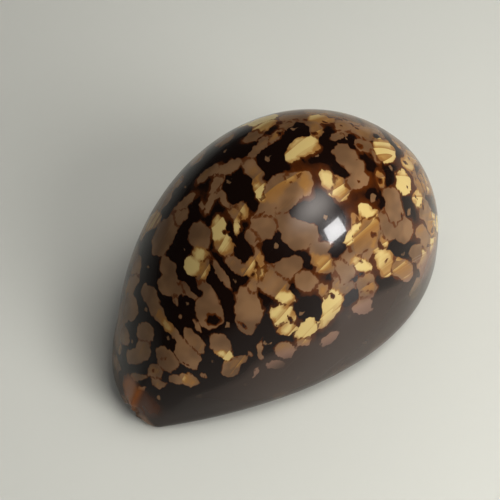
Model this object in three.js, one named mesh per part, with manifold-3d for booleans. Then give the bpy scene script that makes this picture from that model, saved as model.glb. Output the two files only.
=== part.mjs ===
// A humpback cowrie shell lying on its flat base, as one closed solid, in millimetres.
// +X is the broad back end, -X the front end with the siphon notch, +Z the humped back.
// +Y is the side of the outer lip, -Y the side of the spire. The origin is the middle of
// the footprint, on the surface that the shell rests on.
//
// The wall is one rolled sheet with two faces, an outer one and an inner one. Each face is a
// function of two numbers: "along" runs from the front end (0) to the back end (1), and
// "across" runs from the spire-side lip (0), round the body, to the outer lip (1). The two
// faces meet along both lips of the mouth and along the rims of the notches at the ends.
import * as THREE from "three";
import { ParametricGeometry } from "three/addons/geometries/ParametricGeometry.js";
import { mergeVertices } from "three/addons/utils/BufferGeometryUtils.js";
import Module from "manifold-3d";

// Driving dimensions of the body
const bodyLength = 82.6;
const bodyWidth = 55;
const bodyHeight = 45.7;
const backWall = 2.2;
const sideWall = 3.6; // the thickened margins
const baseWall = 7.6; // the callus on either side of the mouth

// Outlines, as weights along the length from front to back. Each outline is a half ellipse
// swollen by the smooth curve that these weights draw.
const spireSideSwell = [0.32, 0.47, 0.97, 1.15, 0.34];
const lipSideSwell = [0.7, 1.2, 1.19, 1.19, 0.43];
const crestSwell = [0.48, 0.7, 1.26, 1.09, 0.95];
const crestBluntness = 0.97; // 1 is a plain ellipse, and less is blunter at both ends
const marginShare = [0.45, 0.15, 0.15, 0.15, 0.4]; // height of the widest place over the crest's
const flange = [3.4, 2.1, 0, 0, 0]; // how far the outer lip's margin stands out below the dome
const flangeHeight = 3.5;
const flangeThickness = 4;
const frontLobe = { width: 1.8, length: 4 }; // widens the spire side's lobe by the front notch
const domeSquareness = 2.1; // 2 is a plain ellipse
const baseSquareness = 4;
const baseWear = 0.25; // the callus is flat over what this cuts off

// The fold down to the front notch, sharp on the spire side
const beak = { reach: 1.4, length: 7, at: 1.9, slant: 0.45, sharp: 0.9, broad: 2.2, above: 2.8 };

// The mouth, from front to back
const mouthGap = [3.8, 7.4, 8, 5.8, 4.6, 4];
const mouthBend = [2.2, 3, 3.8, 3.8, 2.6, -2.4]; // its middle line, to the lip side
const lipRoundAcross = 4.6;
const lipRoundUp = 2.6;

// The notch at each end is an arch, set back from the two lobes that flank it
const frontNotch = { height: 4, setBack: 0.9, reach: 2.5 };
const backNotch = { height: 5.4, setBack: 2.2, reach: 6 };
const notchWidening = 1.5; // over 1 keeps the lobes broad
const archSquareness = 0.8; // 1 is a half ellipse, and less is squarer
const lobeTip = 0.35; // the lobes stop this far short of the outline's own tip

// The hollow opens behind the front notch and closes before the back one, as shares of the length
const hollowOpens = 0.24;
const hollowCloses = 0.2;

// Teeth on both lips
const toothPitch = 3.1;
const toothWidth = 1.8;
const toothIntoMouth = 1.0;
const toothGroundGap = 0.06; // the teeth stay clear of the surface that the base rests on
const lipTeeth = { side: 1, count: 21, first: -31.5, ontoBase: 4.4 };
const spireTeeth = { side: -1, count: 20, first: -30.3, ontoBase: 3.6 };

// Samples: stations along the shell, and steps across each face
const stations = 44;
const steps = 32;

const clamp = (x) => Math.min(1, Math.max(0, x));
const smooth = (x) => clamp(x) ** 2 * (3 - 2 * clamp(x));
const mix = (a, b, t) => a + (b - a) * t;

// Bernstein's smooth curve through a list of weights
function weigh(weights, t) {
  const n = weights.length - 1;
  let sum = 0;
  let choose = 1;
  weights.forEach((weight, i) => {
    sum += weight * choose * t ** i * (1 - t) ** (n - i);
    choose = (choose * (n - i)) / (i + 1);
  });
  return sum;
}

// A station's place along the shell, given as the phase of the half ellipse: 0 front, 1 back
const placeOf = (phase) => (-bodyLength / 2) * Math.cos(Math.PI * phase);
const phaseAt = (fromTip) => Math.acos(1 - (2 * fromTip) / bodyLength) / Math.PI;

// The phase at (along, across): the face starts further back over the notch than at the lobes
function phaseOf(along, across) {
  const overNotch = Math.sin(Math.PI * across) ** notchWidening;
  const front = phaseAt(lobeTip + frontNotch.setBack * overNotch);
  const back = phaseAt(lobeTip + backNotch.setBack * overNotch);
  return mix(front, 1 - back, along);
}

function measuresAt(phase) {
  const ellipse = Math.sin(Math.PI * phase);
  const crest = bodyHeight * ellipse ** crestBluntness * weigh(crestSwell, phase);
  const fromTip = placeOf(phase) + bodyLength / 2;
  const lobe = frontLobe.width * clamp(1 - fromTip / frontLobe.length) ** 2;
  return {
    spireSide: (bodyWidth / 2) * ellipse * weigh(spireSideSwell, phase) + lobe,
    lipSide: (bodyWidth / 2) * ellipse * weigh(lipSideSwell, phase),
    crest,
    margin: crest * weigh(marginShare, phase),
  };
}

// The arch that the mouth makes across a station: the rim of a notch at the ends
function archAt(along, across) {
  const half = weigh(mouthGap, along) / 2;
  const middle = weigh(mouthBend, along);
  const height = mix(frontNotch.height, backNotch.height, along);
  const turn = Math.PI * across;
  const rise = Math.max(0, Math.sin(turn)) ** archSquareness;
  return { y: middle - half * Math.cos(turn), z: mix(lipRoundUp, height, rise) };
}

// A superellipse section, read by the angle about the middle of its widest line, with a flat
// base and lips that round up into the mouth
function sectionPoint(phase, along, across) {
  const { spireSide, lipSide, crest, margin } = measuresAt(phase);
  const spireLip = archAt(along, 0);
  const outerLip = archAt(along, 1);
  const first = -Math.PI / 2 + Math.atan(spireLip.y / margin);
  const last = (-5 * Math.PI) / 2 + Math.atan(outerLip.y / margin);
  const angle = mix(first, last, across);
  const sideways = Math.cos(angle);
  const upward = Math.sin(angle);
  const width = sideways > 0 ? lipSide : spireSide;
  const power = upward > 0 ? domeSquareness : baseSquareness;
  const rise = upward > 0 ? crest - margin : margin;
  const radius = ((Math.abs(sideways) / width) ** power + (Math.abs(upward) / rise) ** power) ** (-1 / power);
  const skirt = weigh(flange, phase) * clamp((radius * sideways) / width) ** 2;
  const fromFlange = (margin + radius * upward - flangeHeight) / flangeThickness;
  const y = radius * sideways + skirt * Math.exp(-(fromFlange ** 2));
  let z = Math.max(0, margin + radius * upward - baseWear);
  const fromLip = upward > 0 ? Infinity : Math.max(spireLip.y - y, y - outerLip.y);
  const roundness = clamp(1 - fromLip / lipRoundAcross);
  z += lipRoundUp * (1 - Math.sqrt(1 - roundness ** 2));
  return { y, z };
}

// How far the beak stands out in front: a bell across, which fades towards the back and the lips
function beakAt(fromTip, y, z) {
  const away = y - beak.at + beak.slant * fromTip;
  const bell = Math.exp(-((away / (away > 0 ? beak.broad : beak.sharp)) ** 2));
  return beak.reach * bell * smooth((z - beak.above) / 2) * (1 - smooth(fromTip / beak.length));
}

// The outer face: the sections, drawn in to the rims of the notches at the two ends
function outerFace(along, across, target) {
  const phase = phaseOf(along, across);
  const x = placeOf(phase);
  if (across === 0 || across === 1) {
    const edge = archAt(along, across);
    return target.set(x, edge.y, edge.z);
  }
  const point = sectionPoint(phase, along, across);
  const ends = [
    { at: 0, reach: frontNotch.reach },
    { at: 1, reach: backNotch.reach },
  ];
  for (const { at, reach } of ends) {
    const endPhase = phaseOf(at, across);
    const section = sectionPoint(endPhase, at, across);
    const rim = archAt(at, across);
    const away = clamp(Math.abs(x - placeOf(endPhase)) / reach);
    const pull = 1 - Math.sqrt(1 - (1 - away) ** 2);
    point.y += (rim.y - section.y) * pull;
    point.z += (rim.z - section.z) * pull;
  }
  const beakX = x - beakAt(x + bodyLength / 2, point.y, point.z);
  return target.set(beakX, point.y, point.z);
}

// The hollow's outline across a station, as the points that a smooth curve follows: up the
// spire-side lip, round the inner whorl, up the side, under the back and down to the outer lip
function hollowPoints(phase, along) {
  const { spireSide, lipSide, crest } = measuresAt(phase);
  const spireLip = archAt(along, 0);
  const outerLip = archAt(along, 1);
  const left = -(spireSide - sideWall);
  const right = lipSide - sideWall;
  const top = crest - backWall;
  const floor = Math.min(baseWall, 0.4 * crest);
  const up = (share) => mix(floor, top, share);
  return [
    [spireLip.y, spireLip.z],
    [spireLip.y + 0.1, floor * 0.6],
    [spireLip.y - 0.2, floor],
    [spireLip.y - 1, up(0.18)],
    [spireLip.y - 2.5, up(0.42)],
    [0.45 * left, up(0.5)],
    [0.76 * left, up(0.34)],
    [0.88 * left, up(0.08)],
    [1.02 * left, up(0.28)],
    [0.93 * left, up(0.66)],
    [0.54 * left, 0.96 * top],
    [0, 1.01 * top],
    [0.54 * right, 0.96 * top],
    [0.93 * right, up(0.66)],
    [1.02 * right, up(0.24)],
    [0.76 * right, floor],
    [outerLip.y + 2.5, floor],
    [outerLip.y + 0.2, floor * 0.9],
    [outerLip.y - 0.1, floor * 0.6],
    [outerLip.y, outerLip.z],
  ];
}

// A uniform cubic B-spline through the points, held at its two ends
function splinePoint(points, t) {
  const held = [points[0], points[0], ...points, points.at(-1), points.at(-1)];
  const spans = held.length - 3;
  const place = clamp(t) * spans;
  const span = Math.min(spans - 1, Math.floor(place));
  const f = place - span;
  const shares = [(1 - f) ** 3, 3 * f ** 3 - 6 * f ** 2 + 4, -3 * f ** 3 + 3 * f ** 2 + 3 * f + 1, f ** 3];
  const blend = (axis) => shares.reduce((sum, share, i) => sum + (share * held[span + i][axis]) / 6, 0);
  return { y: blend(0), z: blend(1) };
}

// The inner face: the arch of the mouth at both ends, opening into the hollow between them
function innerFace(along, across, target) {
  const phase = phaseOf(along, across);
  const arch = archAt(along, across);
  const hollow = splinePoint(hollowPoints(phase, along), across);
  const open = smooth(along / hollowOpens) * smooth((1 - along) / hollowCloses);
  const y = mix(arch.y, hollow.y, open);
  const z = mix(arch.z, hollow.z, open);
  const x = placeOf(phase);
  return target.set(x - beakAt(x + bodyLength / 2, y, z) * (1 - open), y, z);
}

// Out along one face and back along the other, closed at both lips and both ends
function wholeSkin(around, along, target) {
  const inside = around <= 0.5;
  const across = Math.round((inside ? 2 * around : 2 - 2 * around) * steps) / steps;
  return (inside ? innerFace : outerFace)(along, across, target);
}

const wasm = await Module();
wasm.setup();

function solidFrom(geometry) {
  geometry.deleteAttribute("normal");
  geometry.deleteAttribute("uv");
  const merged = mergeVertices(geometry, 1e-3);
  const triVerts = new Uint32Array(merged.index.array);
  return new wasm.Manifold(new wasm.Mesh({ numProp: 3, vertProperties: merged.attributes.position.array, triVerts }));
}

// One tooth: a ridge over the lip's rounded edge, from the base into the mouth
function tooth({ side, ontoBase }, x) {
  const phase = Math.acos((-2 * x) / bodyLength) / Math.PI;
  const [front, back] = [phaseOf(0, 0), phaseOf(1, 0)];
  const edge = archAt((phase - front) / (back - front), side > 0 ? 1 : 0);
  const reach = (ontoBase + toothIntoMouth) / 2;
  const ridge = new THREE.SphereGeometry(1, 8, 6);
  ridge.scale(toothWidth / 2, reach, lipRoundUp - toothGroundGap);
  ridge.translate(x, edge.y + side * (reach - toothIntoMouth), lipRoundUp);
  return ridge;
}

let shell = solidFrom(new ParametricGeometry(wholeSkin, 2 * steps, stations));
for (const row of [lipTeeth, spireTeeth]) {
  for (let i = 0; i < row.count; i++) {
    shell = shell.add(solidFrom(tooth(row, row.first + i * toothPitch)));
  }
}

const { numProp, vertProperties, triVerts } = shell.getMesh();
const geometry = new THREE.BufferGeometry();
const positions = new Float32Array((vertProperties.length / numProp) * 3).map(
  (_, i) => vertProperties[Math.floor(i / 3) * numProp + (i % 3)],
);
geometry.setAttribute("position", new THREE.BufferAttribute(positions, 3));
geometry.setIndex(new THREE.BufferAttribute(triVerts, 1));
geometry.computeBoundingBox();
const footprint = geometry.boundingBox.getCenter(new THREE.Vector3());

const shellFinish = new THREE.MeshStandardMaterial({ color: 0x4a3426, roughness: 0.18, metalness: 0 });
const cowrie = new THREE.Mesh(geometry, shellFinish);
cowrie.name = "cowrie_shell";
cowrie.position.set(-footprint.x, -footprint.y, 0);

const part = new THREE.Group();
part.add(cowrie);
export default part;
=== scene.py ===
# Humpback cowrie shell lying on its flat base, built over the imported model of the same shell.
# +X is the broad back end, -X the front end with the siphon notch, +Y the outer lip's side and
# +Z the back. The shell is worked out in millimetres and goes into Blender in metres.
import bpy
import numpy as np
from math import comb, radians, tan
from mathutils import Matrix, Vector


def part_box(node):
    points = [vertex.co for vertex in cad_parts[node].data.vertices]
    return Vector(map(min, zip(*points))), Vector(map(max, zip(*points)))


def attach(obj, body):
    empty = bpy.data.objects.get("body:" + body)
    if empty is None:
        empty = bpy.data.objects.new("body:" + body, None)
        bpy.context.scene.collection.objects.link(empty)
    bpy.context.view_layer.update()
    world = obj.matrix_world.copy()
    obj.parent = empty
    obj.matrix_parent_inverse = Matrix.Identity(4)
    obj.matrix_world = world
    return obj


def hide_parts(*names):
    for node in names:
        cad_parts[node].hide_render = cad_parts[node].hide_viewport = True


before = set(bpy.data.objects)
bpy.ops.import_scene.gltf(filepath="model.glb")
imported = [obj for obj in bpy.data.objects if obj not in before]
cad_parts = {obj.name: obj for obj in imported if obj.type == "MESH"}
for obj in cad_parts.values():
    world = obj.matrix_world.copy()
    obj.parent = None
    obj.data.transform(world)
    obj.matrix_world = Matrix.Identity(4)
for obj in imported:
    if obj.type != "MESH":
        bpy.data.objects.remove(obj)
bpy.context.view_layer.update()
boxLow, boxHigh = (np.array(corner) * 1000 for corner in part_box("cowrie_shell"))
boxSize = boxHigh - boxLow
print("frame loaded, shell", np.round(boxSize, 1), "mm")

# The form: the same outlines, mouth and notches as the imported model, and finer
form = {
    "lobeTip": 0.35,  # mm that the lobes stop short of the outline's own tip
    "spireSideSwell": [0.32, 0.47, 0.97, 1.15, 0.34],  # weights from front to back
    "lipSideSwell": [0.7, 1.2, 1.19, 1.19, 0.43],
    "crestSwell": [0.48, 0.7, 1.26, 1.09, 0.95],
    "crestBluntness": 0.97,
    "marginShare": [0.45, 0.15, 0.15, 0.15, 0.4],
    "flange": [3.4, 2.1, 0, 0, 0],  # mm that the outer lip's margin stands out below the dome
    "flangeHeight": 3.5,
    "flangeThickness": 4,
    "frontLobe": {"width": 1.8, "length": 4},  # widens the spire side's lobe by the front notch
    "domeSquareness": 2.1,
    "baseSquareness": 4,
    "baseWear": 0.25,
    "widthToBox": 55 / 54,  # the two swellings never reach their widest at one station
    "heightToBox": 45.7 / 46.56,
    "beak": {"reach": 1.4, "length": 7, "at": 1.9, "slant": 0.45, "sharp": 0.9, "broad": 2.2,
             "above": 2.8, "rise": 2},  # the fold down to the front notch, sharp on the spire side
    "mouthGap": [3.8, 7.4, 8, 5.8, 4.6, 4],
    "mouthBend": [2.2, 3, 3.8, 3.8, 2.6, -2.4],
    "lipRoundAcross": 4.6,
    "lipRoundUp": 2.6,
    "walls": {"back": 2.2, "side": 3.6, "base": 7.6},
    "baseWallMost": 0.4,  # share of the crest's height that the base's wall may take
    "notches": [{"at": 0, "height": 4, "setBack": 0.9, "reach": 2.5},
                {"at": 1, "height": 5.4, "setBack": 2.2, "reach": 6}],
    "notchWidening": 1.5,
    "archSquareness": 0.8,
    "rimThickness": 0.7,
    "hollowOpens": 0.24,
    "hollowCloses": 0.2,
    "stations": 310,
    "evenStations": 0.6,  # share of even spacing, the rest is closer at both tips
    "outerSteps": 225,
    "innerSteps": 70,
}
bodyLength = boxSize[0] + 2 * form["lobeTip"]
bodyWidth = boxSize[1] * form["widthToBox"]
bodyHeight = boxSize[2] * form["heightToBox"]


def weigh(weights, t):  # Bernstein's smooth curve through a list of weights
    n = len(weights) - 1
    return sum(weight * comb(n, i) * t**i * (1 - t) ** (n - i) for i, weight in enumerate(weights))


def smoothStep(x):
    x = np.clip(x, 0, 1)
    return x * x * (3 - 2 * x)


def placeOf(phase):  # x = minus half the length times cos(pi phase)
    return -bodyLength / 2 * np.cos(np.pi * phase)


def phaseAt(fromTip):  # the inverse of placeOf, from either tip
    return np.arccos(1 - 2 * fromTip / bodyLength) / np.pi


def phaseOf(along, across):  # faces start further in over a notch than at its lobes
    overNotch = np.sin(np.pi * np.clip(across, 0, 1)) ** form["notchWidening"]
    front, back = (phaseAt(form["lobeTip"] + notch["setBack"] * overNotch) for notch in form["notches"])
    return front + (1 - back - front) * along


def measuresAt(phase):  # half widths and heights: a half ellipse times the weights' curve
    ellipse = np.sin(np.pi * phase)
    crest = bodyHeight * ellipse ** form["crestBluntness"] * weigh(form["crestSwell"], phase)
    fromTip = placeOf(phase) + bodyLength / 2
    lobe = form["frontLobe"]["width"] * np.clip(1 - fromTip / form["frontLobe"]["length"], 0, 1) ** 2
    spireSide = bodyWidth / 2 * ellipse * weigh(form["spireSideSwell"], phase) + lobe
    lipSide = bodyWidth / 2 * ellipse * weigh(form["lipSideSwell"], phase)
    return spireSide, lipSide, crest, crest * weigh(form["marginShare"], phase)


def archAt(along, across, thinner=0):  # y = middle - half gap cos(turn), z rises by sin(turn)
    heights = [notch["height"] - thinner for notch in form["notches"]]
    turn = np.pi * across
    rise = np.clip(np.sin(turn), 0, 1) ** form["archSquareness"]
    y = weigh(form["mouthBend"], along) - weigh(form["mouthGap"], along) / 2 * np.cos(turn)
    height = heights[0] + (heights[1] - heights[0]) * along
    return y, form["lipRoundUp"] + (height - form["lipRoundUp"]) * rise


def sectionPoint(phase, along, across):  # superellipse by angle, flat below, lips rounded up
    spireSide, lipSide, crest, margin = measuresAt(phase)
    spireLip, outerLip = archAt(along, 0)[0], archAt(along, 1)[0]
    first = -np.pi / 2 + np.arctan(spireLip / margin)
    last = -5 * np.pi / 2 + np.arctan(outerLip / margin)
    angle = first + (last - first) * across
    sideways, upward = np.cos(angle), np.sin(angle)
    width = np.where(sideways > 0, lipSide, spireSide)
    power = np.where(upward > 0, form["domeSquareness"], form["baseSquareness"])
    rise = np.where(upward > 0, crest - margin, margin)
    radius = ((np.abs(sideways) / width) ** power + (np.abs(upward) / rise) ** power) ** (-1 / power)
    y = radius * sideways
    fromFlange = (margin + radius * upward - form["flangeHeight"]) / form["flangeThickness"]
    flange = weigh(form["flange"], phase) * np.clip(y / width, 0, 1) ** 2
    y = y + flange * np.exp(-(fromFlange**2))
    z = np.maximum(0, margin + radius * upward - form["baseWear"])
    fromLip = np.where(upward > 0, np.inf, np.maximum(spireLip - y, y - outerLip))
    roundness = np.clip(1 - fromLip / form["lipRoundAcross"], 0, 1)
    return y, z + form["lipRoundUp"] * (1 - np.sqrt(1 - roundness**2))


def beakAt(fromTip, y, z):  # a bell across, times fades towards the back and towards the lips
    beak = form["beak"]
    away = y - beak["at"] + beak["slant"] * fromTip
    bell = np.exp(-((away / np.where(away > 0, beak["broad"], beak["sharp"])) ** 2))
    upward = smoothStep((z - beak["above"]) / beak["rise"])
    return beak["reach"] * bell * (upward * (1 - smoothStep(fromTip / beak["length"])))


def outerFace(along, across):  # the sections, drawn in to the notch rims by a quarter circle
    phase = phaseOf(along, across)
    x = placeOf(phase)
    y, z = sectionPoint(phase, along, across)
    for notch in form["notches"]:
        endPhase = phaseOf(notch["at"], across)
        sectionY, sectionZ = sectionPoint(endPhase, notch["at"], across)
        rimY, rimZ = archAt(notch["at"], across)
        away = np.clip(np.abs(x - placeOf(endPhase)) / notch["reach"], 0, 1)
        pull = 1 - np.sqrt(1 - (1 - away) ** 2)
        y = y + (rimY - sectionY) * pull
        z = z + (rimZ - sectionZ) * pull
    x = x - beakAt(x + bodyLength / 2, y, z)
    edgeY, edgeZ = archAt(along, across)
    onEdge = (across <= 0) | (across >= 1)
    return np.stack([x, np.where(onEdge, edgeY, y), np.where(onEdge, edgeZ, z)], -1)


# The hollow in a section, from the spire side's lip round to the outer lip. By the lips a point is
# mm from the lip and a share of the floor's height. Elsewhere it is a share of the way out to the
# side, and a share of the rise from the floor to the top.
hollow = {
    "besideSpireLip": [(0.1, 0.6), (-0.2, 1)],
    "slot": [(-1, 0.18), (-2.5, 0.42)],  # mm from the lip, and a share of the rise
    "innerWhorl": [(0.45, 0.5), (0.76, 0.34), (0.88, 0.08), (1.02, 0.28), (0.93, 0.66)],
    "vault": {"out": 0.54, "shoulder": 0.96, "peak": 1.01},  # shares of the side and of the top
    "lipSide": [(0.93, 0.66), (1.02, 0.24), (0.76, 0)],
    "besideOuterLip": [(2.5, 1), (0.2, 0.9), (-0.1, 0.6)],
}


def hollowPoints(phase, along):  # the hollow's points in mm at every phase, with its ends held
    spireSide, lipSide, crest, _ = measuresAt(phase)
    (spireLip, lipZ), (outerLip, _) = archAt(along, 0), archAt(along, 1)
    left, right = form["walls"]["side"] - spireSide, lipSide - form["walls"]["side"]
    top = crest - form["walls"]["back"]
    floor = np.minimum(form["walls"]["base"], form["baseWallMost"] * crest)
    vault = hollow["vault"]

    def risen(share):
        return floor + (top - floor) * share

    points = [(spireLip, lipZ)]
    points += [(spireLip + shift, floor * share) for shift, share in hollow["besideSpireLip"]]
    points += [(spireLip + shift, risen(share)) for shift, share in hollow["slot"]]
    points += [(out * left, risen(share)) for out, share in hollow["innerWhorl"]]
    points += [(vault["out"] * left, vault["shoulder"] * top), (0 * top, vault["peak"] * top),
               (vault["out"] * right, vault["shoulder"] * top)]
    points += [(out * right, risen(share)) for out, share in hollow["lipSide"]]
    points += [(outerLip + shift, floor * share) for shift, share in hollow["besideOuterLip"]]
    points += [(outerLip, lipZ)]
    held = [points[0]] * 2 + points + [points[-1]] * 2
    return np.array([[np.broadcast_to(c, phase.shape) for c in point] for point in held])


def innerFace(along, across):  # cubic B-spline over the hollow's points, an arch at both ends
    phase = phaseOf(along, across)
    held = hollowPoints(phase, along)
    spans = len(held) - 3
    place = np.clip(across, 0, 1) * spans
    span = np.minimum(spans - 1, np.floor(place)).astype(int)
    f = place - span
    shares = [(1 - f) ** 3, 3 * f**3 - 6 * f**2 + 4, -3 * f**3 + 3 * f**2 + 3 * f + 1, f**3]
    rows, columns = np.indices(phase.shape)
    y, z = (sum(share * held[span + k, axis, rows, columns] / 6 for k, share in enumerate(shares))
            for axis in (0, 1))
    opening = smoothStep(along / form["hollowOpens"]) * smoothStep((1 - along) / form["hollowCloses"])
    archY, archZ = archAt(along, across, form["rimThickness"])
    x, y, z = placeOf(phase), archY + (y - archY) * opening, archZ + (z - archZ) * opening
    return np.stack([x - beakAt(x + bodyLength / 2, y, z) * (1 - opening), y, z], -1)


# How close the vertices are round a section: by the lips, over the dome, and elsewhere
closeness = {
    "samples": 1201,  # points that the arc is measured over
    "elsewhere": 0.7,
    "byLips": 1.5,
    "lipReach": 4.5,  # mm
    "overDome": 0.5,
    "domeFrom": 2,  # mm up
    "domeRise": 6,
}


def evenAcross(along, count):  # equal steps of arc length times the closeness
    dense = np.linspace(0, 1, closeness["samples"])
    grid = outerFace(along[:, None], dense[None, :])
    step = np.linalg.norm(np.diff(grid, axis=1), axis=2)
    arc = np.concatenate([np.zeros((len(along), 1)), np.cumsum(step, axis=1)], axis=1)
    fromLip = np.minimum(arc, arc[:, -1:] - arc)[:, 1:]
    nearLips = closeness["byLips"] * np.exp(-(fromLip / closeness["lipReach"]) ** 2)
    upward = smoothStep((grid[:, 1:, 2] - closeness["domeFrom"]) / closeness["domeRise"])
    weight = closeness["elsewhere"] + nearLips + closeness["overDome"] * upward
    share = np.cumsum(step * weight, axis=1)
    belowNext = 0.999  # keeps a row's shares under the next row's, as all rows are read in one go
    share = belowNext * np.concatenate([np.zeros((len(along), 1)), share / share[:, -1:]], axis=1)
    rows = np.arange(len(along))[:, None]
    wanted = belowNext * np.linspace(0, 1, count + 1)[None, :]
    across = np.interp((rows + wanted).ravel(), (rows + share).ravel(), np.tile(dense, len(along)))
    across = across.reshape(len(along), count + 1)
    across[:, 0], across[:, -1] = 0, 1
    return across


def shellGrids():
    even = np.linspace(0, 1, form["stations"] + 1)
    evenShare = form["evenStations"]
    along = evenShare * even + (1 - evenShare) * np.arccos(1 - 2 * even) / np.pi
    across = evenAcross(along, form["outerSteps"])
    outer = outerFace(along[:, None], across)
    inside = np.linspace(0, 1, form["innerSteps"] + 1)[None, :]
    inner = innerFace(along[:, None] + 0 * inside, inside + 0 * along[:, None])
    inner[:, 0], inner[:, -1] = outer[:, 0], outer[:, -1]
    return outer, inner


teeth = {
    "pitch": 3.1,
    "height": 0.85,
    "roundness": 0.8,
    "sunk": 0.3,  # share of the height that the grooves lie below the skin
    "fullness": 0.7,  # how soon a ridge reaches its height from its two ends
    "lip": {"count": 21, "first": -31.5, "ontoBase": 5.2, "intoMouth": 3.2},
    "spire": {"count": 20, "first": -30.3, "ontoBase": 4.4, "intoMouth": 3.6},
}


def ringOf(outer, inner):  # out along one face and back along the other, shared at both lips
    return np.concatenate([outer, inner[:, -2:0:-1]], axis=1)


def ringNormals(ring):  # out of the wall: cross product of the steps along the shell and round it
    alongStep = np.gradient(ring, axis=0)
    aroundStep = np.roll(ring, -1, axis=1) - np.roll(ring, 1, axis=1)
    normals = np.cross(alongStep, aroundStep)
    return normals / (np.linalg.norm(normals, axis=2, keepdims=True) + 1e-9)


def toothRidge(x, row):  # a rounded ridge at each pitch, none past the row's two ends
    turns = (x - row["first"]) / teeth["pitch"]
    ridge = (0.5 + 0.5 * np.cos(2 * np.pi * turns)) ** teeth["roundness"]
    within = smoothStep((turns + 0.5) * 2) * smoothStep((row["count"] - 0.5 - turns) * 2)
    return (ridge - teeth["sunk"]) * within


def growTeeth(outer, inner):
    # the skin moves out by the ridge's height times a window over the lip's rounded edge
    ring = ringOf(outer, inner)
    step = np.linalg.norm(ring - np.roll(ring, 1, axis=1), axis=2)
    lipColumn = form["outerSteps"]
    arc = np.cumsum(step, axis=1)
    whole = arc[:, -1:] + step[:, :1]
    rise = np.zeros(ring.shape[:2])
    for row, column, baseSide in ((teeth["spire"], 0, 1), (teeth["lip"], lipColumn, -1)):
        away = (arc - arc[:, column : column + 1] + whole / 2) % whole - whole / 2
        onBase = np.clip(baseSide * away / row["ontoBase"], 0, 1)
        inMouth = np.clip(-baseSide * away / row["intoMouth"], 0, 1)
        window = np.cos(np.pi / 2 * onBase) * np.cos(np.pi / 2 * inMouth)
        rise += toothRidge(ring[..., 0], row) * np.clip(window, 0, 1) ** teeth["fullness"]
    ring = ring + ringNormals(ring) * (teeth["height"] * rise)[..., None]
    ring[..., 2] = np.maximum(ring[..., 2], 0)
    return ring, rise


outer, inner = shellGrids()
footprint = (outer.reshape(-1, 3).min(0) + outer.reshape(-1, 3).max(0)) / 2
footprint[2] = 0
ring, toothRise = growTeeth(outer - footprint, inner - footprint)
normals = ringNormals(ring)
print("shell surface", ring.shape, "box", np.ptp(ring.reshape(-1, 3), axis=0).round(2))


# The camera: fitted to the outline in the photograph, which is square
camera = {
    "picture": 500,  # pixels each way
    "fieldOfView": 28,
    "azimuth": -34.344,
    "elevation": 52.74,
    "roll": -7.727,
    "distance": 203.7,
    "aimHeight": 20.5,
    "slide": (6.62, -0.59),  # how far the view's middle lies from the aim, right and up
}


def viewAxes(azimuth, elevation, roll):  # back towards the eye, right and up
    a, e, r = radians(azimuth), radians(elevation), radians(roll)
    back = np.array([np.sin(a) * np.cos(e), -np.cos(a) * np.cos(e), np.sin(e)])
    level = np.array([np.cos(a), np.sin(a), 0])
    above = np.cross(back, level)
    return back, np.cos(r) * level + np.sin(r) * above, np.cos(r) * above - np.sin(r) * level


viewBack, viewRight, viewUp = viewAxes(camera["azimuth"], camera["elevation"], camera["roll"])
aim = np.array([0, 0, camera["aimHeight"]]) - footprint
eye = aim + viewBack * camera["distance"] - viewRight * camera["slide"][0] - viewUp * camera["slide"][1]


def inPicture(points):  # where points come in the picture, in pixels right and down
    fromEye = points - eye
    half = camera["picture"] / 2
    scale = half / tan(radians(camera["fieldOfView"] / 2)) / (fromEye @ -viewBack)
    return half + np.stack([scale * (fromEye @ viewRight), -scale * (fromEye @ viewUp)], -1)


# Markings: light lobed patches on a dark net, with the margins veiled over in grey-brown. Each
# is a distance in mm to the marking's edge, kept on the mesh, and the material cuts it sharp.
# Long and short are half lengths in mm, the long one running round the body, and turn is the most
# degrees that it strays from that. The dots' spacing is a share of the patches'.
markings = {
    "seed": 11,
    "patches": {"spacing": (4.0, 4.9), "long": (2.3, 4.3), "short": (1.5, 2.9), "turn": 38},
    "dots": {"spacing": 0.62, "long": (0.35, 0.95), "short": (0.3, 0.6), "turn": 50},
    "crumbs": {"spacing": 8, "long": (0.35, 0.8), "short": (0.3, 0.6), "turn": 60},
    "dotsInside": 0.7,  # mm in from a patch's edge, where the dots begin
    "dotShare": 0.6,
    "dotsFrom": 4,  # mm towards the back, from where there are random dots on the seen side too
    "crumbsOutside": 0.9,
    "domeFrom": 1,  # mm up
    "domeRise": 3,
    "frontToBack": (-38, 7),  # mm along, over which the front's values change to the back's
    "merging": 0.35,
    "growth": (-0.12, 0.1),  # mm put on all round, in front and at the back
    "wobble": (0.3, 4),  # mm sideways, and mm from wave to wave
    "fineWobble": (0.16, 1.4),
    "seamShare": (0.25, 0.65),  # of the pairs of neighbours, in front and at the back
    "seamsTo": 0.2,  # mm out from a patch's edge
    "creamSpread": (0.5, 1),  # of the random patches: a beta distribution, so mostly little cream
    "creamInFront": 0.3,  # share of it that is left at the front end
    "creamMerging": 0.25,
    "seenFacing": 0.02,  # cosine to the line of sight
    "seenFromLip": 8,  # mm
    "chanceFacing": 0.34,  # surface more edge-on than this is left to chance, as the hidden side is
}

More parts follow.
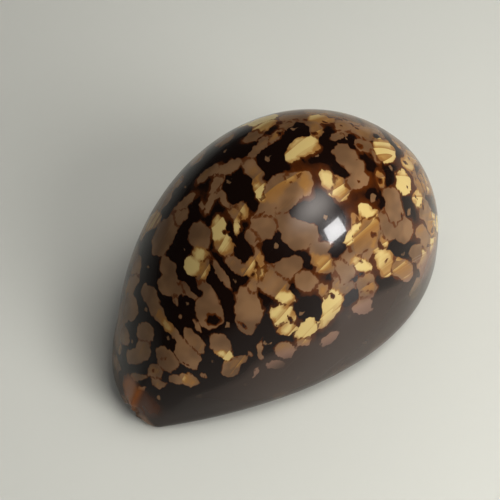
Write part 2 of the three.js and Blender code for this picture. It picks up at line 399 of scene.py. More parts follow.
# The patches of the side that the camera sees, given one by one in the picture: how far right and
# down the middle is, half length, half width, degrees clockwise, and how cream it is out of 100
seenPatches = {
    "front": [
        (131, 307, 13, 7, 85, 0), (145, 331, 12, 9, 80, 10), (143, 349, 11, 8, 80, 20),
        (133, 357, 9, 8, 50, 10), (166, 359, 15, 9, 55, 0), (187, 355, 17, 10, 55, 0),
        (154, 371, 8, 6, 30, 30), (158, 383, 8, 5, 25, 20), (138, 376, 8, 4, 10, 10),
        (175, 380, 7, 5, 30, 10), (189, 380, 10, 6, 30, 50), (195, 342, 15, 8, 48, 20),
        (158, 315, 13, 6, 60, 30), (167, 325, 13, 5, 50, 60), (175, 336, 9, 4, 60, 30),
        (176, 299, 5, 3, 80, 20), (179, 317, 4, 2, 80, 10), (196, 326, 7, 3, 55, 20),
        (142, 388, 6, 2, 10, 20), (203, 376, 4, 2, 40, 30), (134, 279, 9, 5, 100, 10),
    ],
    "middle": [
        (164, 235, 24, 10, -65, 10), (180, 217, 10, 6, -40, 10), (168, 270, 14, 8, 70, 10),
        (169, 287, 14, 10, 30, 10), (150, 297, 15, 8, 65, 10), (186, 291, 13, 5, 35, 10),
        (209, 313, 16, 14, 60, 0), (207, 291, 13, 6, 60, 10), (199, 235, 14, 11, 80, 10),
        (191, 267, 12, 8, 70, 80), (203, 271, 13, 5, -80, 50), (200, 253, 9, 7, 90, 60),
        (219, 229, 14, 8, 75, 90), (225, 247, 11, 9, 50, 60), (238, 229, 10, 3, 80, 70),
        (235, 264, 11, 6, 50, 30), (249, 263, 9, 4, -80, 60), (242, 270, 8, 4, 0, 50),
        (221, 275, 18, 4, 60, 20), (249, 309, 22, 13, 80, 0), (246, 327, 11, 8, 50, 5),
        (253, 287, 9, 5, -80, 30), (259, 351, 9, 3, 90, 20), (250, 355, 2, 2, 0, 20),
        (221, 344, 13, 9, 30, 0), (225, 355, 12, 5, 25, 90), (235, 363, 12, 6, -30, 35),
        (229, 372, 9, 5, 10, 20), (282, 317, 13, 11, 0, 80), (285, 328, 9, 8, 60, 70),
        (273, 283, 18, 13, 40, 30), (263, 275, 9, 7, -30, 70), (283, 295, 11, 7, 20, 80),
        (287, 269, 15, 9, -30, 10), (306, 280, 10, 9, 60, 10), (263, 227, 15, 12, 50, 10),
        (253, 237, 8, 6, 0, 20), (275, 189, 20, 11, -48, 30), (289, 199, 18, 10, -50, 20),
        (267, 209, 14, 9, -50, 10), (291, 179, 9, 8, -45, 40), (305, 183, 13, 7, 80, 50),
        (297, 237, 16, 13, 60, 0), (287, 223, 12, 8, 30, 10), (323, 263, 12, 10, 50, 50),
        (321, 247, 9, 7, 0, 10), (259, 256, 9, 3, 75, 40), (311, 232, 9, 8, 0, 0),
    ],
    "back": [
        (332, 303, 15, 9, -65, 90), (325, 291, 7, 5, 45, 50), (307, 331, 13, 8, -50, 90),
        (303, 341, 8, 5, -20, 40), (285, 352, 10, 8, 0, 30), (274, 365, 9, 4, -5, 15),
        (255, 373, 7, 2, -55, 30), (329, 340, 12, 4, -40, 0), (343, 271, 12, 9, 60, 10),
        (337, 281, 9, 4, 80, 20), (347, 290, 9, 5, -25, 20), (367, 284, 11, 9, 50, 30),
        (364, 307, 9, 8, 0, 0), (385, 263, 13, 9, 75, 70), (403, 269, 12, 10, 60, 45),
        (365, 235, 22, 13, -60, 40), (367, 211, 10, 8, 60, 90), (355, 233, 14, 5, -55, 90),
        (395, 215, 18, 10, 75, 0), (403, 227, 14, 9, 80, 0), (387, 225, 15, 9, 70, 10),
        (427, 243, 12, 5, 90, 15), (419, 255, 10, 7, 80, 10), (361, 265, 10, 7, 30, 80),
        (373, 241, 9, 4, 70, 60), (391, 196, 9, 7, 50, 0), (381, 180, 6, 3, 80, 50),
        (374, 154, 7, 2, 60, 20), (354, 219, 7, 3, 80, 60), (323, 322, 9, 4, -40, 60),
        (365, 294, 7, 5, -50, 20), (385, 241, 5, 3, 70, 60), (367, 254, 8, 5, -50, 15),
        (347, 257, 7, 4, -60, 5),
    ],
    "farSide": [
        (303, 146, 16, 10, -15, 80), (293, 155, 9, 6, -30, 90), (345, 155, 13, 9, 25, 0),
        (329, 179, 14, 8, 50, 90), (339, 187, 13, 9, 60, 60), (359, 181, 12, 8, -15, 5),
        (355, 169, 10, 5, 40, 0), (253, 171, 13, 7, 60, 30), (259, 189, 13, 5, 75, 80),
        (229, 169, 15, 6, -35, 10), (217, 183, 13, 5, -70, 10), (223, 199, 10, 5, 50, 10),
        (207, 173, 14, 4, -35, 20), (265, 126, 14, 4, -25, 60), (253, 135, 12, 4, -25, 20),
        (319, 118, 16, 4, 5, 60), (315, 129, 10, 6, 50, 40), (343, 126, 10, 5, 25, 20),
        (364, 132, 11, 6, 30, 20), (364, 145, 9, 5, 20, 10), (385, 149, 14, 9, 50, 70),
        (404, 183, 13, 7, 70, 80), (409, 165, 10, 5, 60, 50), (420, 201, 12, 5, 75, 70),
        (275, 135, 9, 4, -30, 30), (423, 181, 10, 4, 70, 30), (235, 213, 7, 5, -30, 40),
        (243, 209, 8, 6, 60, 50), (185, 203, 14, 4, -40, 10), (411, 156, 10, 4, 50, 40),
        (430, 186, 10, 3, 70, 40), (434, 219, 8, 2, 80, 60), (399, 143, 8, 4, 45, 50),
        (434, 236, 8, 3, 80, 40), (421, 231, 6, 4, 80, 30), (361, 164, 6, 3, 60, 20),
        (340, 134, 11, 3, -25, 15), (256, 150, 12, 4, -40, 15), (264, 143, 7, 4, -40, 15),
        (213, 200, 16, 3, -65, 10), (201, 206, 6, 2, -70, 10), (336, 111, 6, 2, 10, 30),
        (349, 116, 7, 2, 15, 40), (289, 123, 10, 4, -30, 15),
    ],
}
darkMarks = [  # inside the patches
    (164, 358, 3, 2, 0), (186, 364, 5, 2, 30), (155, 371, 2, 2, 0), (213, 319, 8, 6, 20),
    (242, 325, 6, 3, 40), (259, 215, 3, 3, 0), (360, 183, 3, 2, 0), (290, 321, 5, 3, 70),
    (333, 295, 4, 3, 0), (359, 275, 4, 3, 0), (407, 173, 3, 2, 0), (226, 231, 4, 3, 0),
]
dice = np.random.default_rng(markings["seed"])


def wobbled(points, size, length):  # adds a few plane waves of random direction to each point
    count = 7
    waves = dice.normal(size=(count, 3)) * 2 * np.pi / length
    phases = dice.uniform(0, 2 * np.pi, count)
    pushes = dice.normal(size=(count, 3)) * size / np.sqrt(count)
    return points + np.sin(points @ waves.T + phases) @ pushes


def scatter(points, weights, spacing):  # darts thrown at the surface, kept if no other is too near
    mostDarts = 9000
    darts = min(np.count_nonzero(weights), mostDarts)
    order = dice.choice(len(points), size=darts, replace=False, p=weights / weights.sum())
    kept = []
    for dart in order:
        if not kept or np.min(np.linalg.norm(points[kept] - points[dart], axis=1)) > spacing[dart]:
            kept.append(dart)
    return np.array(kept)


def ellipseDistances(points, centres, longs, shorts):
    # distance to each ellipsoid = (length of the point in its own unit - 1) times its mean size
    outwards = np.cross(longs, shorts)
    size = np.sqrt(np.linalg.norm(outwards, axis=1))
    toUnit = np.linalg.inv(np.stack([longs, shorts, outwards / size[:, None]], 1))
    units = [np.linalg.norm((points - centre) @ own, axis=1) for centre, own in zip(centres, toUnit)]
    return ((np.stack(units, 1) - 1) * size).astype(np.float32)


def randomEllipses(weights, spacing, kind):
    # middles, and half lengths as vectors, the long one turned a little off the way round
    chosen = scatter(flatPoints, weights, spacing)
    angle = np.radians(dice.uniform(-kind["turn"], kind["turn"], len(chosen)))[:, None]
    alongBody = np.cross(flatNormals[chosen], aroundAxis[chosen])
    axis = aroundAxis[chosen] * np.cos(angle) + alongBody * np.sin(angle)
    side = np.cross(flatNormals[chosen], axis)
    return [flatPoints[chosen], axis * dice.uniform(*kind["long"], (len(chosen), 1)),
            side * dice.uniform(*kind["short"], (len(chosen), 1)), chosen]


def placedEllipses(rows):  # the picture's ellipses laid on the surface, by the vertices seen there
    middle, (long, short, turn) = rows[:, :2], rows[:, 2:5].T[..., None]
    turn = np.radians(turn)
    alongTurn = np.hstack([np.cos(turn), np.sin(turn)])
    acrossTurn = np.hstack([-np.sin(turn), np.cos(turn)])

    def surfaceAt(pixels):
        distance = np.linalg.norm(pixels[:, None] - pictured[None], axis=2)
        return flatPoints[seenVertices[distance.argmin(1)]]

    return [surfaceAt(middle),
            (surfaceAt(middle + alongTurn * long) - surfaceAt(middle - alongTurn * long)) / 2,
            (surfaceAt(middle + acrossTurn * short) - surfaceAt(middle - acrossTurn * short)) / 2]


def frontToBack(pair):  # from the front's value to the back's
    return pair[0] + towardsBack * (pair[1] - pair[0])


outerPoints = ring[:, : form["outerSteps"] + 1]
outerNormals = normals[:, : form["outerSteps"] + 1]
aroundStep = np.gradient(outerPoints, axis=1)
stepLength = np.linalg.norm(aroundStep, axis=2)
arc = np.cumsum(stepLength, axis=1)
lipDistance = np.minimum(arc, arc[:, -1:] - arc).ravel()

# mm round the body from the middle of the back, minus on the spire side: at each station, the arc
# less its length where it crosses the middle plane
stations, sideways = np.arange(len(arc)), outerPoints[..., 1]
crossing = np.argmax((sideways[:, :-1] < 0) & (sideways[:, 1:] >= 0), axis=1)
before, after = sideways[stations, crossing], sideways[stations, crossing + 1]
arcBefore, arcAfter = arc[stations, crossing], arc[stations, crossing + 1]
middleArc = arcBefore + before / (before - after) * (arcAfter - arcBefore)
around = (arc - middleArc[:, None]).ravel()

alongLength = np.linalg.norm(np.gradient(outerPoints, axis=0), axis=2)
area = (alongLength * stepLength).ravel()
flatPoints = outerPoints.reshape(-1, 3)
flatNormals = outerNormals.reshape(-1, 3)
aroundAxis = (aroundStep / (stepLength[..., None] + 1e-9)).reshape(-1, 3)
domeArea = area * smoothStep((flatPoints[:, 2] - markings["domeFrom"]) / markings["domeRise"])
frontX, backX = markings["frontToBack"]
towardsBack = smoothStep((flatPoints[:, 0] - frontX) / (backX - frontX))
toEye = (eye - flatPoints) / np.linalg.norm(eye - flatPoints, axis=1, keepdims=True)
facing = (flatNormals * toEye).sum(1)
seenVertices = np.nonzero((facing > markings["seenFacing"]) & (lipDistance > markings["seenFromLip"]))[0]
pictured = inPicture(flatPoints[seenVertices]).astype(np.float32)

spacing = frontToBack(markings["patches"]["spacing"])
markPoints = wobbled(wobbled(flatPoints, *markings["wobble"]), *markings["fineWobble"])
*chance, chosen = randomEllipses(domeArea, spacing, markings["patches"])
unseen = facing[chosen] < markings["chanceFacing"]
rows = np.array([row for group in seenPatches.values() for row in group])
patches = [np.concatenate(pair) for pair in zip(placedEllipses(rows), [each[unseen] for each in chance])]
inFront = markings["creamInFront"]
chanceCream = dice.beta(*markings["creamSpread"], unseen.sum()) * (
    inFront + (1 - inFront) * towardsBack[chosen][unseen])
cream = np.concatenate([rows[:, 5] / 100, chanceCream])
distances = ellipseDistances(markPoints, *patches)
print("patches", len(cream), "of them placed by hand", len(rows))

# the patches run together: minus the log of the sum of e to the power of minus each distance
merging = markings["merging"]
summed = np.exp(-np.clip(distances, -6, 12) / merging).sum(1) + 1e-30
patch = -frontToBack(markings["growth"]) - merging * np.log(summed)

# with a thin seam between some neighbours, along where the two nearest are equally far away
nearest = np.argsort(distances, axis=1)[:, :2]
vertex = np.arange(len(flatPoints))
first, second = distances[vertex, nearest[:, 0]], distances[vertex, nearest[:, 1]]
pairDice = nearest.sum(1) * 7 % 10 / 10  # the same for a pair wherever it meets
hasSeam = (pairDice < frontToBack(markings["seamShare"])) & (patch < markings["seamsTo"])
noSeam = 9
seam = np.where(hasSeam, (second - first) * 0.5, noSeam)
nearness = np.exp(-(distances - first[:, None]) / markings["creamMerging"])
patchCream = nearness @ cream / nearness.sum(1)

# dark dots, mostly inside the patches, and light crumbs scattered in the net
*dots, chosen = randomEllipses(domeArea * (patch < -markings["dotsInside"]),
                               spacing * markings["dots"]["spacing"], markings["dots"])
leftToChance = facing[chosen] < markings["chanceFacing"]
leftToChance |= flatPoints[chosen, 0] > markings["dotsFrom"]
kept = (dice.uniform(0, 1, len(chosen)) < markings["dotShare"]) & leftToChance
placedDots = placedEllipses(np.array(darkMarks))
dots = [np.concatenate(pair) for pair in zip(placedDots, [each[kept] for each in dots])]
dot = ellipseDistances(markPoints, *dots).min(1)
*crumbs, _ = randomEllipses(domeArea * (patch > markings["crumbsOutside"]),
                            0 * spacing + markings["crumbs"]["spacing"], markings["crumbs"])
crumb = ellipseDistances(markPoints, *crumbs).min(1)

# the veil rises to a share of the crest's height, more on the spire side than on the other
veil = {
    "spireSideRise": [0.62, 0.5, 0.56, 0.56, 0.3],  # weights from front to back
    "lipSideRise": [0.3, 0.34, 0.32, 0.32, 0.32],
    "sideToSide": 24,  # mm round the back, over which one side's rise changes to the other's
    "unevenness": 0.03,
    "waves": (0.33, 0.21, 0.28),  # per mm along X, Y and Z
    "wobble": (3, 16),
    "depth": 0.16,  # share of the crest's height from where it begins to where it is full
}
crestHeight = outerPoints[..., 2].max(axis=1, keepdims=True)
heightShare = (outerPoints[..., 2] / crestHeight).ravel()
lipSideShare = smoothStep(around / veil["sideToSide"] + 0.5)
uneven = np.sin(wobbled(flatPoints, *veil["wobble"]) @ np.array(veil["waves"])) * veil["unevenness"]
lengthShare = flatPoints[:, 0] / boxSize[0] + 0.5
spireSideRise = weigh(veil["spireSideRise"], lengthShare)
lipSideRise = weigh(veil["lipSideRise"], lengthShare)
rise = spireSideRise * (1 - lipSideShare) + lipSideRise * lipSideShare
veiled = (rise + uneven - heightShare) / veil["depth"]  # 0 at its upper edge, 1 where it is full

# the orange by the front notch, as a distance from its middle, and the signed distance across the fold's
# line, on whose spire side the notch gets painted shade
stain = {"fromRim": (1.4, -1.4, 3.6), "squash": (0.6, 0.85, 1.1)}
rimTop = outerPoints[0, np.argmax(outerPoints[0, :, 2])]
fromNotch = np.linalg.norm((flatPoints - rimTop - stain["fromRim"]) * stain["squash"], axis=1)
fromTip = flatPoints[:, 0] + footprint[0] + bodyLength / 2
ridgeSide = flatPoints[:, 1] + footprint[1] - form["beak"]["at"] + form["beak"]["slant"] * fromTip


def onRing(values, insideValue=5.0):  # outer values, and one value on the whole inner face
    whole = np.full(ring.shape[:2], float(insideValue))
    whole[:, : form["outerSteps"] + 1] = values.reshape(outerPoints.shape[:2])
    return whole.ravel()


fields = {
    "patch": onRing(patch),
    "seam": onRing(seam),
    "dot": onRing(dot),
    "crumb": onRing(crumb),
    "cream": onRing(patchCream, 0),
    "veiled": onRing(veiled, 1),
    "fromNotch": onRing(fromNotch, 30),
    "ridgeSide": onRing(ridgeSide, 0),
    "fromLip": onRing(lipDistance, 0),
    "inside": onRing(0 * lipDistance, 1),
    "tooth": toothRise.ravel(),
}
growthUnit = 100  # mm along and round the body to one step of the UV map
growthMap = np.stack([ring[..., 0].ravel(), onRing(around, 0)], 1) / growthUnit
print("markings worked out")


def shellMesh(name):
    # quads over the ring at every station, and a strip of triangles that closes each end's rim
    stations, steps = ring.shape[:2]
    index = np.arange(stations * steps).reshape(stations, steps)
    turned = np.roll(index, -1, axis=1)
    quads = np.stack([index[:-1], index[1:], turned[1:], turned[:-1]], -1).reshape(-1, 4)
    outerSteps, innerSteps = form["outerSteps"], form["innerSteps"]
    outerColumn = np.arange(outerSteps)
    partner = np.round(np.arange(outerSteps + 1) * innerSteps / outerSteps).astype(int)
    innerColumn = np.where(partner == 0, 0, (steps - partner) % steps)
    innerColumn[-1] = outerSteps
    strips = []
    for row, flip in ((0, False), (stations - 1, True)):
        near = np.stack([index[row, outerColumn], index[row, outerColumn + 1],
                         index[row, innerColumn[:-1]]], -1)
        changes = np.nonzero(np.diff(partner))[0]
        far = np.stack([index[row, changes + 1], index[row, innerColumn[changes + 1]],
                        index[row, innerColumn[changes]]], -1)
        strip = np.concatenate([near, far])
        following = np.roll(strip, -1, axis=1)
        strip = strip[(strip != following).all(1)]  # none that has a corner twice
        strips.append(strip[:, ::-1] if flip else strip)
    faces = quads.tolist() + [face for strip in strips for face in strip.tolist()]
    mesh = bpy.data.meshes.new(name)
    mesh.from_pydata((ring.reshape(-1, 3) / 1000).tolist(), [], faces)
    mesh.update()
    mesh.shade_smooth()
    return mesh


mesh = shellMesh("cowrie")
for name, values in fields.items():
    mesh.attributes.new(name, "FLOAT", "POINT").data.foreach_set("value", values.astype(np.float32))
corners = np.empty(len(mesh.loops), dtype=np.int32)
mesh.loops.foreach_get("vertex_index", corners)
mesh.uv_layers.new(name="growth").data.foreach_set("uv", growthMap[corners].astype(np.float32).ravel())
cowrie = bpy.data.objects.new("cowrie", mesh)
bpy.context.scene.collection.objects.link(cowrie)
print("mesh built", len(mesh.polygons), "faces")

finish = {
    "net": (22, 9, 5),
    "netThin": (84, 42, 9),  # the net is amber where it is thin, and at its edges
    "amberWidth": (0.15, 1.8),  # mm, and how much wider it gets in places
    "amberFrom": (-0.03, 0.005),  # metres along, where such places begin
    "taupe": (126, 98, 71),
    "taupeDark": (100, 76, 54),
    "cream": (184, 164, 112),
    "gold": (140, 102, 54),
    "tones": {"gold": (0.15, 0.5), "cream": (0.42, 0.78)},
    "toneWidth": 5.5,  # mm round the body between growth lines where the tone jumps
    "toneDrift": {"stretch": (1.2, 9), "waves": 3.2, "by": 2.6},  # bends the growth lines
    "toneSwing": (0.16, 0.4),  # everywhere, and more where it is cream
    "toneStreaks": 0.14,
    "toneEdge": 0.18,  # browner by this at a patch's edge
    "streaks": (4, 420),  # how many along the body and round it, in 100 mm
    "veil": (63, 51, 45),
    # the veil at the front end, painted darker as painted shade where that end lies away from the light
    "shadedFrontVeil": (36, 28, 25),
    "veilGhost": (142, 112, 96),  # the patches that show through it
    "frontVeilShadeTo": (-0.036, -0.016),  # metres along
    "veilUneven": 0.25,
    "notchOrange": (146, 82, 4),
    # the notch's face on the spire side of the fold, painted brown as painted shade where it turns away
    # from the light
    "notchShadeBrown": (78, 38, 6),
    "tooth": (64, 36, 22),
    "toothGroove": (150, 122, 100),
    "base": (40, 25, 19),
    "inside": (196, 190, 200),
    "raggedness": 0.7,
    "notchRaggedness": 1.2,
    "edges": {"patch": (-0.12, 0.12), "brown": (-1.0, -0.1), "taupe": (0.35, 0.65),
              "amber": (0.4, 0.7), "scratch": (0.45, 0.8), "seam": (0.12, 0.34),
              "crumb": (-0.1, 0.12), "dot": (-0.1, 0.15), "dotMiddle": (-0.1, -0.5),
              "veil": (0, 0.6), "ghost": (0.4, 1.3), "speck": (0.05, 0.1), "specksIn": (0.2, 0.6),
              "base": (6, 16), "lip": (2.5, 6), "tooth": (-0.2, 0.3), "fold": (-1.5, -0.1),
              "notch": (3.2, 5.6)},  # mm for most, from where each begins to where it ends
    "shows": {"seam": 0.85, "crumb": 0.75, "veil": 0.93, "ghost": 0.7, "speck": 0.7, "base": 0.9,
              "notch": 0.95},  # how much of what is under each it hides
    "waves": {"fine": 900, "broad": 160, "skin": 330, "specks": 190},  # in a metre
    "roughness": 0.24,
    "scratches": 0.04,
    "coat": 0.3,
    "coatRoughness": 0.05,
    "ior": 1.5,
    "specular": 0.15,
    "bump": {"strength": 0.25, "height": 0.00012, "streaks": 0.02},
}


def linear(colour):  # from the 0 to 255 values of a picture
    c = np.array(colour) / 255
    return (*np.where(c <= 0.04045, c / 12.92, ((c + 0.055) / 1.055) ** 2.4), 1)


def shellMaterial():
    material = bpy.data.materials.new("cowrie shell")
    material.use_nodes = True
    nodes, links = material.node_tree.nodes, material.node_tree.links
    nodes.clear()

    def node(kind, **settings):
        made = nodes.new(kind)
        for key, value in settings.items():
            setattr(made, key, value)
        return made

    def feed(socket, value):
        if isinstance(value, bpy.types.NodeSocket):
            links.new(value, socket)
        else:
            socket.default_value = value

    def field(name):
        return node("ShaderNodeAttribute", attribute_name=name).outputs["Fac"]

    def maths(operation, a, b=0.0, clamped=False):
        made = node("ShaderNodeMath", operation=operation, use_clamp=clamped)
        feed(made.inputs[0], a)
        feed(made.inputs[1], b)
        return made.outputs[0]

    def fade(value, low, high):  # 0 at low to 1 at high, smoothly
        made = node("ShaderNodeMapRange", interpolation_type="SMOOTHSTEP")
        feed(made.inputs["Value"], value)
        feed(made.inputs["From Min"], low)
        feed(made.inputs["From Max"], high)
        return made.outputs["Result"]

    def blend(amount, a, b):  # from a to b, each a socket or the 0 to 255 values of a colour
        made = node("ShaderNodeMix", data_type="RGBA")
        feed(made.inputs[0], amount)
        feed(made.inputs[6], linear(a) if isinstance(a, tuple) else a)
        feed(made.inputs[7], linear(b) if isinstance(b, tuple) else b)
        return made.outputs[2]

    def within(value, low, high):  # 1 at low to 0 at high
        return maths("SUBTRACT", 1.0, fade(value, low, high))

    def painted(under, over, mask, strength):  # over laid on under where the mask is 1
        return blend(maths("MULTIPLY", mask, strength), under, over)

    def alongAxis(vector, axis):
        made = node("ShaderNodeSeparateXYZ")
        feed(made.inputs[0], vector)
        return made.outputs[axis]

    def stretched(vector, x, y):
        made = node("ShaderNodeMapping")
        feed(made.inputs["Vector"], vector)
        made.inputs["Scale"].default_value = (x, y, 1)
        return made.outputs["Vector"]

    def noise(vector, scale, detail):
        made = node("ShaderNodeTexNoise")
        feed(made.inputs["Vector"], vector)
        made.inputs["Scale"].default_value = scale
        made.inputs["Detail"].default_value = detail
        return made.outputs[0]

    edges, shows, waves = finish["edges"], finish["shows"], finish["waves"]
    place = node("ShaderNodeTexCoord").outputs["Object"]  # metres
    growthUv = node("ShaderNodeUVMap", uv_map="growth").outputs["UV"]  # along and round the body
    lengthwise = alongAxis(place, "X")
    fine = maths("SUBTRACT", noise(place, waves["fine"], 3), 0.5)
    broad = noise(place, waves["broad"], 2)
    ragged = maths("MULTIPLY", fine, finish["raggedness"])
    patch, seam, crumb, dot = (maths("ADD", field(name), ragged)
                               for name in ("patch", "seam", "crumb", "dot"))
    inPatch = within(patch, *edges["patch"])

    # tone: taupe, gold or cream by the patch, and a saw round the body under that, so that it
    # fades one way and jumps the other along straight growth lines
    bend = finish["toneDrift"]
    drift = maths("MULTIPLY", noise(stretched(growthUv, *bend["stretch"]), bend["waves"], 1), bend["by"])
    turns = maths("MULTIPLY", alongAxis(growthUv, "Y"), growthUnit / finish["toneWidth"])
    saw = maths("FRACT", maths("ADD", turns, drift))
    streaks = noise(stretched(growthUv, *finish["streaks"]), 1, 2)
    leastSwing, creamSwing = finish["toneSwing"]
    swing = maths("ADD", maths("MULTIPLY", field("cream"), creamSwing), leastSwing)
    tone = maths("ADD", field("cream"), maths("MULTIPLY", maths("SUBTRACT", saw, 0.5), swing))
    streaky = maths("MULTIPLY", maths("SUBTRACT", streaks, 0.5), finish["toneStreaks"])
    brownEdge = maths("MULTIPLY", fade(patch, *edges["brown"]), finish["toneEdge"])
    tone = maths("SUBTRACT", maths("ADD", tone, streaky), brownEdge)
    patchColour = blend(fade(broad, *edges["taupe"]), finish["taupeDark"], finish["taupe"])
    for name in ("gold", "cream"):
        patchColour = blend(fade(tone, *finish["tones"][name]), patchColour, finish[name])

    # the net: amber at its edges and where it is thin, near black elsewhere, and crisper in front
    leastAmber, moreAmber = finish["amberWidth"]
    thinPlaces = maths("MULTIPLY", fade(broad, *edges["amber"]), fade(lengthwise, *finish["amberFrom"]))
    reach = maths("ADD", maths("MULTIPLY", thinPlaces, moreAmber), leastAmber)
    netColour = blend(maths("DIVIDE", patch, reach, clamped=True), finish["netThin"], finish["net"])
    colour = blend(inPatch, netColour, patchColour)
    colour = painted(colour, finish["netThin"], within(seam, *edges["seam"]), shows["seam"])
    colour = painted(colour, finish["taupe"], within(crumb, *edges["crumb"]), shows["crumb"])
    dotColour = blend(fade(dot, *edges["dotMiddle"]), finish["netThin"], finish["net"])
    colour = blend(within(dot, *edges["dot"]), colour, dotColour)

    # the margins' veil, thin enough at its upper edge for the patches to show through, and darker
    # towards the front end as painted shade
    uneven = maths("MULTIPLY", maths("SUBTRACT", broad, 0.5), finish["veilUneven"])
    veiled = maths("ADD", field("veiled"), uneven)
    veilWithFrontShade = blend(fade(lengthwise, *finish["frontVeilShadeTo"]), finish["shadedFrontVeil"], finish["veil"])
    ghost = painted(veilWithFrontShade, finish["veilGhost"], inPatch, shows["ghost"])
    veilColour = blend(fade(veiled, *edges["ghost"]), ghost, veilWithFrontShade)
    colour = painted(colour, veilColour, fade(veiled, *edges["veil"]), shows["veil"])

    # small dark specks in the veil
    specks = node("ShaderNodeTexVoronoi")
    feed(specks.inputs["Vector"], place)
    specks.inputs["Scale"].default_value = waves["specks"]
    speck = maths("MULTIPLY", within(specks.outputs["Distance"], *edges["speck"]),
                  fade(veiled, *edges["specksIn"]))
    colour = painted(colour, finish["net"], speck, shows["speck"])

    # the underside, the teeth, the orange front notch with painted shade on the fold's spire side, and
    # the inside
    colour = painted(colour, finish["base"], within(field("fromLip"), *edges["base"]), shows["base"])
    toothColour = blend(fade(field("tooth"), *edges["tooth"]), finish["toothGroove"], finish["tooth"])
    colour = blend(within(field("fromLip"), *edges["lip"]), colour, toothColour)
    fromNotch = maths("ADD", field("fromNotch"), maths("MULTIPLY", fine, finish["notchRaggedness"]))
    notchOrangeAndShade = blend(fade(field("ridgeSide"), *edges["fold"]), finish["notchShadeBrown"],
                        finish["notchOrange"])
    colour = painted(colour, notchOrangeAndShade, within(fromNotch, *edges["notch"]), shows["notch"])
    colour = blend(field("inside"), colour, finish["inside"])

    # a glossy skin with faint growth lines, scratches and a slightly uneven surface
    scratches = maths("MULTIPLY", fade(streaks, *edges["scratch"]), finish["scratches"])
    bump = node("ShaderNodeBump")
    bump.inputs["Strength"].default_value = finish["bump"]["strength"]
    bump.inputs["Distance"].default_value = finish["bump"]["height"]
    feed(bump.inputs["Height"], maths("ADD", noise(place, waves["skin"], 2),
                                      maths("MULTIPLY", streaks, finish["bump"]["streaks"])))

    surface = node("ShaderNodeBsdfPrincipled")
    feed(surface.inputs["Base Color"], colour)
    feed(surface.inputs["Roughness"], maths("ADD", scratches, finish["roughness"]))
    feed(surface.inputs["Normal"], bump.outputs[0])
    surface.inputs["IOR"].default_value = finish["ior"]
    surface.inputs["Specular IOR Level"].default_value = finish["specular"]
    surface.inputs["Coat Weight"].default_value = finish["coat"]
    surface.inputs["Coat Roughness"].default_value = finish["coatRoughness"]
    links.new(surface.outputs[0], node("ShaderNodeOutputMaterial").inputs[0])
    return material


mesh.materials.append(shellMaterial())
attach(cowrie, "root")
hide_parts("cowrie_shell")
print("material made")


def placed(obj, back, right, up, where):  # turned to its axes, at a place in mm
    turned = np.stack([right, up, back, where / 1000], 1)
    obj.matrix_world = Matrix([*turned.tolist(), (0, 0, 0, 1)])
    bpy.context.scene.collection.objects.link(obj)
    return obj


lens = bpy.data.cameras.new("camera")
lens.sensor_width = 36
lens.lens = lens.sensor_width / 2 / tan(radians(camera["fieldOfView"] / 2))
lensObject = bpy.data.objects.new("camera", lens)
bpy.context.scene.camera = placed(lensObject, viewBack, viewRight, viewUp, eye)

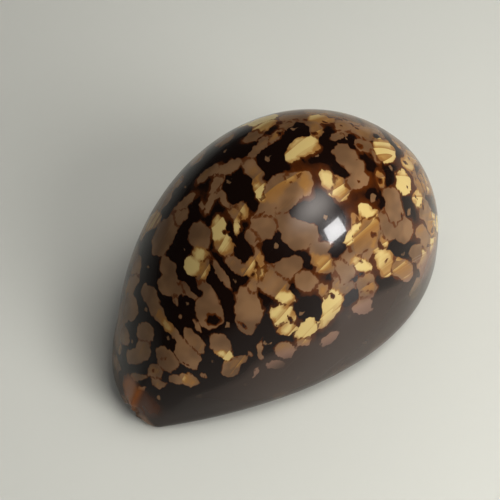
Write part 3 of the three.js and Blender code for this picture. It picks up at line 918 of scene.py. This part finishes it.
# Lights: where each is, as an angle round from +X and one above the floor, seen from the middle
# of the shell. The key and the side light the table and the shell, and the window and the wall
# are only there to be reflected.
shellMiddle = np.array([0, 0, 20])  # mm
daylight = (1, 0.985, 0.95)
lights = {
    "key": {"around": -38, "above": 60, "away": 480, "size": (260, 260), "power": 1.3,
            "colour": daylight, "seenBy": "diffuse"},
    "side": {"around": -80, "above": 27, "away": 520, "size": (260, 260), "power": 2.15,
             "colour": daylight, "seenBy": "diffuse"},
    "window": {"around": -79, "above": 20, "away": 700, "size": (150, 170), "power": 3.2,
               "colour": (1, 1, 1), "seenBy": "glossy"},
    "wall": {"around": -82, "above": 50, "away": 800, "size": (760, 760), "power": 22,
             "colour": (1, 0.95, 0.9), "seenBy": "glossy", "fades": True},
}
for name, light in lights.items():
    turned, raised = radians(light["around"]), radians(light["above"])
    level = np.array([np.cos(turned), np.sin(turned), 0])
    towards = level * np.cos(raised) + np.array([0, 0, np.sin(raised)])
    side = np.cross([0, 0, 1], towards)
    side /= np.linalg.norm(side)
    lamp = bpy.data.lights.new(name, "AREA")
    lamp.shape = "RECTANGLE"
    lamp.size, lamp.size_y = light["size"][0] / 1000, light["size"][1] / 1000
    lamp.energy = light["power"]
    lamp.color = light["colour"]
    lampObject = placed(bpy.data.objects.new(name, lamp), towards, side, np.cross(towards, side),
                        towards * light["away"] + shellMiddle)
    if light.get("fades"):  # from its middle to its rim
        lamp.use_nodes = True
        lampNodes, lampLinks = lamp.node_tree.nodes, lamp.node_tree.links
        fromMiddle = lampNodes.new("ShaderNodeVectorMath")
        fromMiddle.operation = "DISTANCE"
        lampLinks.new(lampNodes.new("ShaderNodeNewGeometry").outputs["Parametric"], fromMiddle.inputs[0])
        fromMiddle.inputs[1].default_value = (0.5, 0.5, 0)
        fading = lampNodes.new("ShaderNodeMapRange")
        fading.interpolation_type = "SMOOTHSTEP"
        lampLinks.new(fromMiddle.outputs["Value"], fading.inputs["Value"])
        fading.inputs["From Max"].default_value = 0.5
        fading.inputs["To Min"].default_value, fading.inputs["To Max"].default_value = 1, 0
        lampLinks.new(fading.outputs["Result"], lampNodes["Emission"].inputs["Strength"])
    lampObject.visible_diffuse = light["seenBy"] == "diffuse"
    lampObject.visible_glossy = light["seenBy"] == "glossy"

# The room round them: an even glow, and dimmer where the shell mirrors it
room = {"colour": (1, 0.98, 0.95), "strength": 0.27, "mirrored": 0.03}
world = bpy.data.worlds.new("room")
world.use_nodes = True
glow = world.node_tree.nodes["Background"]
glow.inputs["Color"].default_value = (*room["colour"], 1)
path = world.node_tree.nodes.new("ShaderNodeLightPath")
dimmer = world.node_tree.nodes.new("ShaderNodeMapRange")
dimmer.inputs["To Min"].default_value = room["strength"]
dimmer.inputs["To Max"].default_value = room["mirrored"]
world.node_tree.links.new(path.outputs["Is Glossy Ray"], dimmer.inputs["Value"])
world.node_tree.links.new(dimmer.outputs["Result"], glow.inputs["Strength"])
bpy.context.scene.world = world
picture = bpy.context.scene.view_settings
picture.view_transform = "Standard"
picture.gamma, picture.exposure = 0.85, 0.15  # a little more contrast, as a pocket camera gives

# The floor: a plain pale table top
floor = {"size": 3000, "colour": (204, 205, 200), "roughness": 0.35}
halfFloor = floor["size"] / 2 / 1000
floorMesh = bpy.data.meshes.new("floor")
floorMesh.from_pydata([(-halfFloor, -halfFloor, 0), (halfFloor, -halfFloor, 0),
                       (halfFloor, halfFloor, 0), (-halfFloor, halfFloor, 0)], [], [(0, 1, 2, 3)])
floorPaint = bpy.data.materials.new("floor")
floorPaint.use_nodes = True
floorSurface = floorPaint.node_tree.nodes["Principled BSDF"]
floorSurface.inputs["Base Color"].default_value = linear(floor["colour"])
floorSurface.inputs["Roughness"].default_value = floor["roughness"]
floorMesh.materials.append(floorPaint)
floorPiece = bpy.data.objects.new("floor", floorMesh)
bpy.context.scene.collection.objects.link(floorPiece)
print("camera, lights and floor set")
